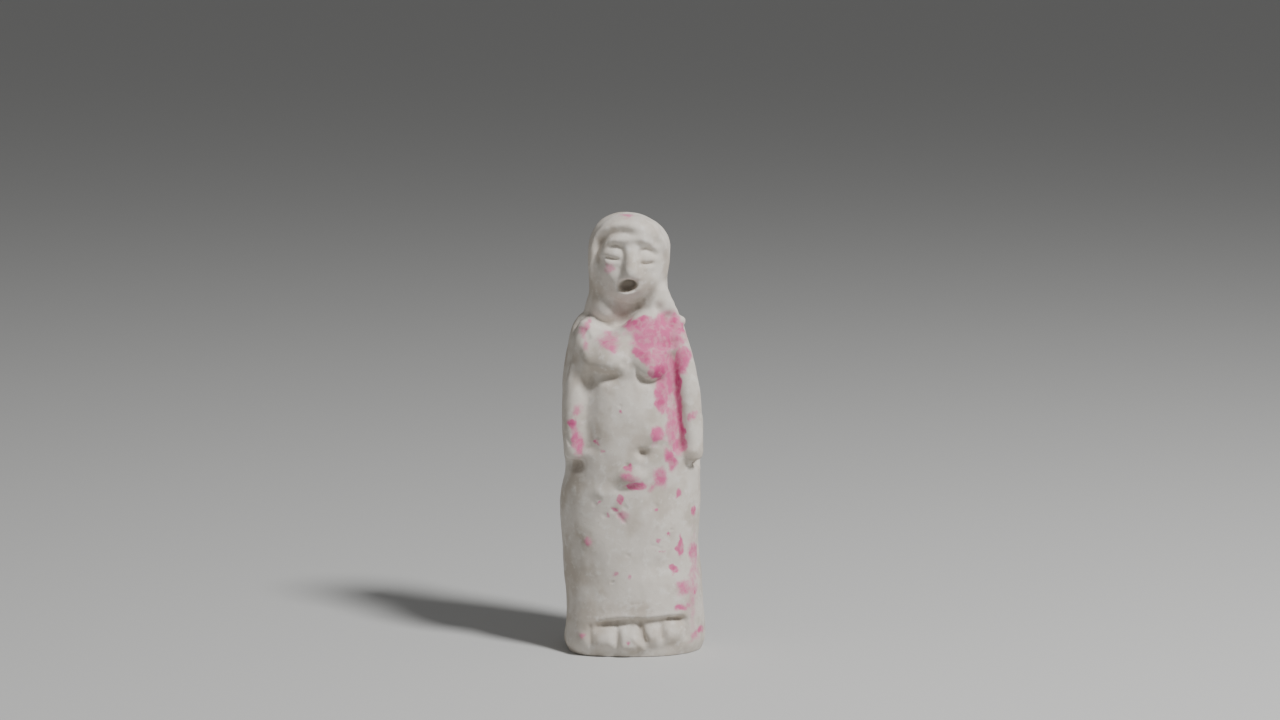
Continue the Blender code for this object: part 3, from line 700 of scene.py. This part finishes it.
def carveFeet(x, z, depth):
    # the hem stands out in a thin line, and everything below it lies back
    welt = [(across, up + feet["welt"]) for across, up in feet["hem"]]
    depth = depth + feet["weltHigh"] * groove(x, z, welt, width=1.0)
    depth = depth - feet["hemDeep"] * ledge(x, z, feet["hem"], crisp=1.2, reach=8.5, fade=2.8)
    depth = press(x, z, depth, feet["hollows"])
    return press(x, z, depth, feet["toes"])


# What age and the potter left on the skin.

wear = {
    # pits: place, radii, tilt, how deep (all on the front)
    "pits": (
        ((-4.0, 100.6), (1.1, 1.3), 0.0, 0.35),
        ((-9.8, 133.0), (1.4, 1.0), 0.3, 0.12),
        ((-2.7, 66.1), (1.1, 0.8), 0.0, 0.3),
        ((7.1, 52.0), (0.8, 1.0), 0.2, 0.2),
        ((12.2, 43.5), (0.8, 0.6), 0.0, 0.2),
        ((-7.8, 25.9), (0.9, 0.7), 0.5, 0.22),
        ((-2.4, 35.2), (0.9, 0.8), 0.0, 0.2),
        ((20.3, 50.6), (0.8, 1.6), 0.1, 0.25),
        ((15.6, 39.6), (0.6, 2.2), 0.0, 0.2),
        ((-5.0, 86.1), (0.8, 0.7), 0.0, 0.16),
        ((-12.8, 74.5), (0.9, 0.7), 0.0, 0.14),
        ((-12.2, 54.2), (1.3, 1.0), 0.4, 0.22),
        ((-13.6, 52.6), (1.0, 1.3), 0.0, 0.2),
        ((-10.4, 48.6), (1.2, 1.0), -0.5, 0.2),
        ((-7.2, 50.6), (1.3, 1.1), 0.2, 0.3),
        ((-5.4, 48.8), (1.1, 0.9), -0.7, 0.26),
        ((-3.4, 51.6), (1.0, 1.0), 0.0, 0.2),
        ((-3.8, 47.0), (1.2, 0.8), -0.7, 0.24),
    ),
    # scratches: path, width, depth
    "scratches": (
        ([(5.1, 38.6), (7.0, 38.2), (9.2, 37.1)], 0.7, 0.14),
        ([(-2.0, 18.4), (2.7, 18.8)], 0.6, 0.1),
        ([(7.1, 107.2), (10.6, 106.8), (14.6, 107.3)], 0.6, 0.14),
        ([(7.6, 105.0), (11.0, 104.8), (14.0, 105.4)], 0.5, 0.11),
        ([(-24.0, 76.6), (-21.8, 71.7)], 0.8, 0.25),
    ),
    # shallow hollows and swellings under the fingers: place, radii, tilt, height
    "fingers": (
        ((7.1, 30.7), (5.0, 3.0), 0.3, -0.45),
        ((13.9, 30.4), (4.0, 3.4), 0.0, -0.35),
        ((-11.8, 56.3), (3.0, 2.4), 0.0, 0.5),
        ((-10.0, 46.0), (7.0, 6.0), 0.3, -0.5),
        ((-14.0, 26.0), (6.0, 9.0), 0.0, -0.45),
        ((4.0, 46.0), (7.0, 9.0), 0.2, 0.35),
        ((14.0, 60.0), (5.0, 8.0), 0.0, 0.3),
        ((0.0, 86.0), (9.0, 6.0), 0.0, 0.4),
    ),
    "lumpiness": ((16.0, 0.34), (6.0, 0.14), (2.2, 0.05)),   # size of a swell in parts, height in parts
    "pitEdge": 3.0,
    "front": (-2.0, 4.0),     # strokes come in over this stretch before the middle, parts
    "corner": 1.8,            # how much flatter than round the front is pressed
}


def roughen(points, normals, frontShare):
    # fine strokes on the front, gentle unevenness all over
    x, z = points[:, 0], points[:, 2]
    height = np.zeros(len(points))
    for middle, radii, tilt, deep in wear["pits"]:
        height -= deep * spot(x, z, middle, radii, tilt, wear["pitEdge"]) * frontShare
    for path, width, deep in wear["scratches"]:
        height -= deep * groove(x, z, path, width) * frontShare
    for middle, radii, tilt, high in wear["fingers"]:
        height += high * spot(x, z, middle, radii, tilt) * frontShare
    for size, high in wear["lumpiness"]:
        height += high * np.array([noise.noise(Vector(point) / size) for point in points])
    return points + normals * height[:, None]


def carve(piece, share):
    # every stroke, as deep as this share of it
    points = readSkin(piece)
    x, z = points[:, 0], points[:, 2]
    plain = -points[:, 1]
    depth = plain
    for stage in (carveFace, carveNeck, carveTorso, carveFeet):
        depth = stage(x, z, depth)
    # straight in at the front, towards the middle at the corners
    inward = np.stack((x / wear["corner"], points[:, 1]), axis=1)
    inward /= np.maximum(np.linalg.norm(inward, axis=1, keepdims=True), 1.0)
    push = share * (depth - plain) * blend(*wear["front"], plain)
    points[:, :2] += inward * push[:, None]
    writeSkin(piece, points)


def age(piece):
    points = readSkin(piece)
    frontShare = blend(*wear["front"], -points[:, 1])
    writeSkin(piece, roughen(points, readPoints(piece, "normal"), frontShare))


def fitToBox(piece, low, high):
    # the finished skin fills the same box as the solid
    points = readPoints(piece)
    lowest, highest = points.min(axis=0), points.max(axis=0)
    low, high = np.array(low), np.array(high)
    writePoints(piece, low + (points - lowest) * (high - low) / (highest - lowest))


def cutFoot(piece):
    # everything below the ground goes, and the foot is closed flat
    mesh = bmesh.new()
    mesh.from_mesh(piece.data)
    bmesh.ops.bisect_plane(
        mesh, geom=mesh.verts[:] + mesh.edges[:] + mesh.faces[:],
        plane_co=(0.0, 0.0, 0.0), plane_no=(0.0, 0.0, 1.0), clear_inner=True,
    )
    rim = [edge for edge in mesh.edges if edge.is_boundary]
    bmesh.ops.edgeloop_fill(mesh, edges=rim)
    manySided = [side for side in mesh.faces if len(side.verts) > 4]   # the foot's new face among them
    bmesh.ops.triangulate(mesh, faces=manySided)
    mesh.to_mesh(piece.data)
    mesh.free()


def sharpenRim(piece):
    # the foot meets the ground in a crisp edge
    low = readPoints(piece)[:, 2] < layout["ground"]
    edges = readEdges(piece)
    crisp = piece.data.attributes.new("sharp_edge", "BOOLEAN", "EDGE")
    crisp.data.foreach_set("value", low[edges[:, 0]] & low[edges[:, 1]])


def makeFigurine():
    piece = pressTogether()
    knead(piece, layout["clayGrain"], before=0, after=layout["smoothing"])
    print("clay pressed together:", len(piece.data.vertices), "points")
    for _ in range(layout["rounds"]):
        carve(piece, 1.0 / layout["rounds"])
        knead(piece, layout["clayGrain"], *layout["rework"])
    smoothing(piece, layout["finish"])
    settle(piece)
    age(piece)
    print("clay carved:", len(piece.data.vertices), "points")
    cutFoot(piece)
    thin = piece.modifiers.new("thin", "DECIMATE")
    piece.data.calc_loop_triangles()
    thin.ratio = min(1.0, layout["triangles"] / len(piece.data.loop_triangles))
    settle(piece)
    fitToBox(piece, *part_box("clay_figurine"))
    piece.data.shade_smooth()
    sharpenRim(piece)
    return piece


# Paint, and painted shade in the hollows.

paint = {
    # worn rose paint, by patch on the front: middle, half width and height, tilt in degrees, how much is left
    "rose": (
        # neckline, left shoulder and chest
        ((0.7, 113.6), (5.5, 2.3), 22, 1.1),
        ((7.8, 109.6), (12.4, 8.0), 8, 0.85),
        ((13.6, 112.1), (3.2, 3.8), 0, 1.2),
        ((11.6, 107.5), (6.5, 2.6), 8, 1.1),
        ((16.4, 101.5), (3.0, 6.1), -8, 0.93),
        ((-8.9, 107.4), (5.1, 4.2), 0, 0.6),
        ((-16.4, 111.7), (2.2, 5.5), -18, 0.63),
        ((-16.4, 106.0), (2.3, 2.8), 0, 0.48),
        # left breast and the ribs below it
        ((2.4, 103.2), (4.6, 2.6), -35, 1.1),
        ((8.5, 101.9), (6.1, 5.5), 0, 0.63),
        ((8.2, 97.6), (4.6, 3.5), 5, 1.2),
        ((11.6, 95.7), (3.2, 10.3), 0, 0.78),
        ((9.5, 90.5), (3.5, 6.1), 0, 0.9),
        ((8.9, 86.4), (2.6, 2.8), 0, 1.1),
        # between body and left arm
        ((14.3, 95.3), (1.6, 12.2), 0, 1.2),
        ((15.4, 79.8), (1.6, 11.2), 7, 1.1),
        ((12.6, 79.9), (3.8, 12.2), 4, 0.6),
        ((15.0, 71.9), (3.2, 4.2), 0, 0.78),
        ((20.1, 82.2), (2.3, 2.8), 0, 0.63),
        # belly, navel and boss
        ((7.2, 76.5), (2.6, 3.8), 12, 0.83),
        ((11.9, 67.6), (2.3, 5.1), 25, 1),
        ((8.9, 61.2), (3.5, 4.6), 10, 0.73),
        ((5.8, 58.6), (2.8, 2.8), 0, 0.53),
        ((-1.7, 62.4), (4.6, 2.6), 0, 0.6),
        ((0.3, 59.2), (3.5, 1.8), 15, 1.2),
        ((-2.4, 64.9), (1.9, 1.1), 0, 0.78),
        ((-5.1, 84.5), (1.1, 1.1), 0, 0.68),
        ((-12.6, 73.6), (1.1, 1.1), 0, 0.68),
        ((-11.3, 70.9), (1.0, 1.0), 0, 0.58),
        # right arm and hand
        ((-20.8, 79.4), (1.8, 2.0), 0, 1.1),
        ((-19.1, 84.4), (2.6, 3.8), 0, 0.58),
        ((-19.5, 73.3), (3.2, 7.4), 0, 0.68),
        # down the skirt
        ((15.0, 55.4), (1.6, 1.9), 0, 0.78),
        ((-4.8, 54.6), (1.4, 2.3), 10, 1),
        ((-6.5, 50.5), (1.5, 1.5), 0, 0.78),
        ((-3.8, 48.7), (3.2, 2.8), 0, 0.56),
        ((-9.2, 48.4), (1.0, 1.0), 0, 0.58),
        ((-12.6, 53.1), (1.1, 1.1), 0, 0.63),
        ((7.2, 50.8), (1.2, 1.2), 0, 0.78),
        ((11.9, 42.6), (1.0, 1.0), 0, 1),
        ((8.2, 40.1), (1.0, 1.0), 0, 0.68),
        ((8.5, 36.5), (2.8, 0.8), -18, 0.68),
        ((20.1, 48.7), (1.1, 2.0), 0, 1),
        ((15.4, 37.2), (1.2, 4.6), 0, 0.88),
        ((20.1, 35.3), (1.9, 4.6), 0, 0.68),
        ((13.3, 29.8), (2.6, 1.4), -22, 1),
        ((16.7, 23.4), (4.2, 3.8), 0, 0.54),
        ((20.1, 20.2), (1.0, 1.1), 0, 0.88),
        ((16.4, 16.5), (3.2, 1.4), 12, 0.73),
        ((22.2, 7.2), (1.6, 1.9), 0, 0.78),
        ((20.1, 5.7), (2.8, 3.2), 0, 0.58),
        ((19.8, 26.1), (2.8, 23.2), 0, 0.45),
        ((-6.1, 29.1), (1.5, 1.5), 0, 0.53),
        ((-1.4, 28.4), (1.2, 1.2), 0, 0.45),
        ((-15.7, 39.4), (2.0, 1.9), 0, 0.48),
        ((-17.8, 7.0), (2.2, 2.3), 0, 0.48),
        ((-2.1, 5.4), (1.1, 1.1), 0, 0.68),
        # crown and right cheek
        ((-2.4, 149.8), (4.2, 1.6), 0, 0.5),
        ((-8.2, 132.1), (2.8, 2.8), 0, 0.48),
    ),
    "stray": ((4.0, 1.4), (1.5, 0.7)),   # how the edges wander: size of a bend and how far, in parts
    "strayApart": (9.0, 4.0, 2.0),       # sets the up and down wander apart from the sideways one
    "edge": 2.6,
    "front": (-1.0, 5.0),                # paint comes in over this stretch before the middle, parts
    "hollowPasses": 40,                  # how wide around a point its hollow is measured
}

clayLook = {
    "pale": (0.63, 0.585, 0.525, 1.0),
    "buff": (0.50, 0.445, 0.380, 1.0),
    "chalk": (0.76, 0.735, 0.690, 1.0),
    # the colour of the painted shade that darkens the hollows and creases
    "paintedShade": (0.24, 0.195, 0.155, 1.0),
    "rose": (0.60, 0.130, 0.280, 1.0),
    "deepRose": (0.48, 0.045, 0.175, 1.0),
    "roughness": 0.86,
    "specular": 0.25,
    "noises": {
        # cells to a metre, detail, roughness, distortion
        "broad": (95.0, 3.0, 0.55, 0.0),
        "cloud": (340.0, 5.0, 0.6, 0.0),
        "grain": (2600.0, 4.0, 0.65, 0.0),
        "speck": (1500.0, 2.0, 0.5, 0.0),
        "rubbing": (420.0, 4.0, 0.6, 0.3),
    },
    "ramps": {
        # where it starts and ends in what it reads, and its least and most
        "buff": (0.42, 0.68, 0.0, 1.0),
        "chalk": (0.5, 0.72, 0.0, 0.55),
        "speck": (0.66, 0.72, 0.0, 0.5),
        "paintLeft": (0.0, 1.0, 0.0, 1.15),
        "flakes": (0.08, 0.8, 0.0, 0.97),
        "paintEdge": (0.02, 0.2, 0.0, 1.0),
        "rubbing": (0.36, 0.6, 0.74, 1.0),
        "deepRose": (0.5, 1.3, 0.0, 1.0),
        # where the hollows get painted shade, and how unevenly it lies
        "hollow": (0.03, 0.42, 0.0, 1.0),
        "paintedShadeCloud": (0.2, 0.6, 0.2, 0.5),
    },
    "flaking": (1.0, 0.45),        # how much the cloud and the grain break up the paint
    "relief": (0.8, 0.35),         # how much the cloud and the grain stand out
    "reliefStrength": 0.35,
    "reliefDepth": 0.0004,         # metres
}


def neighbourMean(count, edges, values, passes):
    # each point takes the mean of its neighbours, again and again
    share = np.bincount(edges.ravel(), minlength=count).astype(float)
    for _ in range(passes):
        summed = np.zeros_like(values)
        for axis in range(values.shape[1]):
            summed[:, axis] = np.bincount(edges[:, 0], values[edges[:, 1], axis], count)
            summed[:, axis] += np.bincount(edges[:, 1], values[edges[:, 0], axis], count)
        values = 0.5 * values + 0.5 * summed / share[:, None]
    return values


def markSkin(piece):
    # how much paint is left, and how deep each point lies in a hollow, kept on the points; the hollow depth
    # sets where the material paints shade
    points = readSkin(piece)
    x, z = points[:, 0] - layout["middle"], points[:, 2]
    apart = Vector(paint["strayApart"])
    for size, reach in paint["stray"]:
        places = [Vector(point) / size for point in points]
        x = x + reach * np.array([noise.noise(place) for place in places])
        z = z + reach * np.array([noise.noise(place + apart) for place in places])
    rose = np.zeros(len(points))
    for middle, radii, tilt, left in paint["rose"]:
        rose = np.maximum(rose, left * spot(x, z, middle, radii, math.radians(tilt), paint["edge"]))
    flat = neighbourMean(len(points), readEdges(piece), points, paint["hollowPasses"])
    hollow = ((flat - points) * readPoints(piece, "normal")).sum(axis=1)
    front = blend(*paint["front"], -points[:, 1])
    for name, values in (("rosePaint", rose * front), ("hollow", hollow)):
        layer = piece.data.attributes.new(name, "FLOAT", "POINT")
        layer.data.foreach_set("value", values.astype(np.float32))


def firedClay():
    material = bpy.data.materials.new("firedClay")
    material.use_nodes = True
    tree = material.node_tree
    nodes = tree.nodes
    shader = nodes["Principled BSDF"]
    shader.inputs["Roughness"].default_value = clayLook["roughness"]
    shader.inputs["Specular IOR Level"].default_value = clayLook["specular"]
    place = nodes.new("ShaderNodeTexCoord").outputs["Object"]

    def feed(node, socket, value):
        # a number or colour is set on the socket, and anything else is linked to it
        if isinstance(value, (float, tuple)):
            node.inputs[socket].default_value = value
        else:
            tree.links.new(value, node.inputs[socket])

    def noiseOf(name):
        node = nodes.new("ShaderNodeTexNoise")
        for socket, value in zip(("Scale", "Detail", "Roughness", "Distortion"), clayLook["noises"][name]):
            feed(node, socket, value)
        feed(node, "Vector", place)
        return node.outputs["Fac"]

    def ramp(name, value):
        node = nodes.new("ShaderNodeMapRange")
        node.interpolation_type = "SMOOTHSTEP"
        for socket, setting in zip(("From Min", "From Max", "To Min", "To Max"), clayLook["ramps"][name]):
            feed(node, socket, setting)
        feed(node, "Value", value)
        return node.outputs[0]

    def mixColour(first, second, factor):
        node = nodes.new("ShaderNodeMix")
        node.data_type = "RGBA"
        # sockets 6 and 7 are the two colours, and 0 is the second one's share
        for socket, value in ((6, first), (7, second), (0, factor)):
            feed(node, socket, value)
        return node.outputs[2]

    def maths(kind, first, second):
        node = nodes.new("ShaderNodeMath")
        node.operation = kind
        feed(node, 0, first)
        feed(node, 1, second)
        return node.outputs[0]

    def stored(name):
        node = nodes.new("ShaderNodeAttribute")
        node.attribute_name = name
        return node.outputs["Fac"]

    cloud, grain = noiseOf("cloud"), noiseOf("grain")
    painted = stored("rosePaint")

    colour = mixColour(clayLook["pale"], clayLook["buff"], ramp("buff", noiseOf("broad")))
    colour = mixColour(colour, clayLook["chalk"], ramp("chalk", cloud))
    colour = mixColour(colour, clayLook["buff"], ramp("speck", noiseOf("speck")))
    # the paint has worn off in flakes and is rubbed thin in places
    flakes = ramp("paintLeft", painted)
    for source, amount in zip((cloud, grain), clayLook["flaking"]):
        flakes = maths("ADD", flakes, maths("MULTIPLY", maths("SUBTRACT", source, 0.5), amount))
    cover = maths("MULTIPLY", ramp("flakes", flakes), ramp("paintEdge", painted))
    cover = maths("MULTIPLY", cover, ramp("rubbing", noiseOf("rubbing")))
    roseColour = mixColour(clayLook["rose"], clayLook["deepRose"], ramp("deepRose", painted))
    colour = mixColour(colour, roseColour, cover)
    # painted shade: the hollows and creases are darkened, unevenly by the cloud noise, and the high places are
    # left clear
    paintedShadeCover = maths("MULTIPLY", ramp("hollow", stored("hollow")), ramp("paintedShadeCloud", cloud))
    colour = mixColour(colour, clayLook["paintedShade"], paintedShadeCover)
    feed(shader, "Base Color", colour)

    cloudHigh, grainHigh = clayLook["relief"]
    bump = nodes.new("ShaderNodeBump")
    feed(bump, "Strength", clayLook["reliefStrength"])
    feed(bump, "Distance", clayLook["reliefDepth"])
    relief = maths("ADD", maths("MULTIPLY", cloud, cloudHigh), maths("MULTIPLY", grain, grainHigh))
    feed(bump, "Height", relief)
    feed(shader, "Normal", bump.outputs["Normal"])
    return material


# The floor, the light and the camera.

studio = {
    "floorColour": (0.56, 0.56, 0.55, 1.0),
    "floorRoughness": 0.9,
    "floorSize": 60.0,
    "floorHeight": -0.0002,
    "lights": {
        # direction, distance, size, watts
        "keyLight": ((0.62, -0.6, 0.95), 1.3, 0.24, 23.0),
        "fillLight": ((-0.9, -0.5, 0.25), 1.0, 0.6, 0.4),
    },
    "lightsAim": (0.0, 0.0, 0.08),
    "skyColour": (1.0, 1.0, 1.0, 1.0),
    "skyStrength": 0.18,
    "lens": 100.0,
    "sensor": 36.0,
    "target": (0.002456, 0.0018, 0.0993),
    "distance": 1.214,
    "elevation": 7.5,      # degrees above the level
}


def makeFloor():
    bpy.ops.mesh.primitive_plane_add(size=studio["floorSize"], location=(0.0, 0.0, studio["floorHeight"]))
    floor = bpy.context.object
    floor.name = "floor"
    material = bpy.data.materials.new("paleFloor")
    material.use_nodes = True
    shader = material.node_tree.nodes["Principled BSDF"]
    shader.inputs["Base Color"].default_value = studio["floorColour"]
    shader.inputs["Roughness"].default_value = studio["floorRoughness"]
    floor.data.materials.append(material)


def softLight(name, direction, distance, size, watts):
    lamp = bpy.data.lights.new(name, "AREA")
    lamp.shape = "DISK"
    lamp.size = size
    lamp.energy = watts
    light = bpy.data.objects.new(name, lamp)
    bpy.context.scene.collection.objects.link(light)
    aim = Vector(direction).normalized()
    light.location = Vector(studio["lightsAim"]) + aim * distance
    light.rotation_euler = aim.to_track_quat("Z", "Y").to_euler()


def makeStudio():
    makeFloor()
    for name, settings in studio["lights"].items():
        softLight(name, *settings)
    world = bpy.data.worlds.new("studioSky")
    bpy.context.scene.world = world
    world.use_nodes = True
    sky = world.node_tree.nodes["Background"]
    sky.inputs["Color"].default_value = studio["skyColour"]
    sky.inputs["Strength"].default_value = studio["skyStrength"]


def makeCamera():
    lens = bpy.data.cameras.new("camera")
    lens.lens = studio["lens"]
    lens.sensor_width = studio["sensor"]
    camera = bpy.data.objects.new("camera", lens)
    bpy.context.scene.collection.objects.link(camera)
    tilt = math.radians(studio["elevation"])
    towards = Vector((0.0, -math.cos(tilt), math.sin(tilt)))
    camera.location = Vector(studio["target"]) + studio["distance"] * towards
    camera.rotation_euler = (math.radians(90.0) - tilt, 0.0, 0.0)
    bpy.context.scene.camera = camera


makeCamera()
makeStudio()
print("studio ready")
figurine = makeFigurine()
figurine.name = "figurine"
markSkin(figurine)
figurine.data.materials.append(firedClay())
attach(figurine, "root")
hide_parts("clay_figurine")
print("figurine:", len(figurine.data.polygons), "faces")
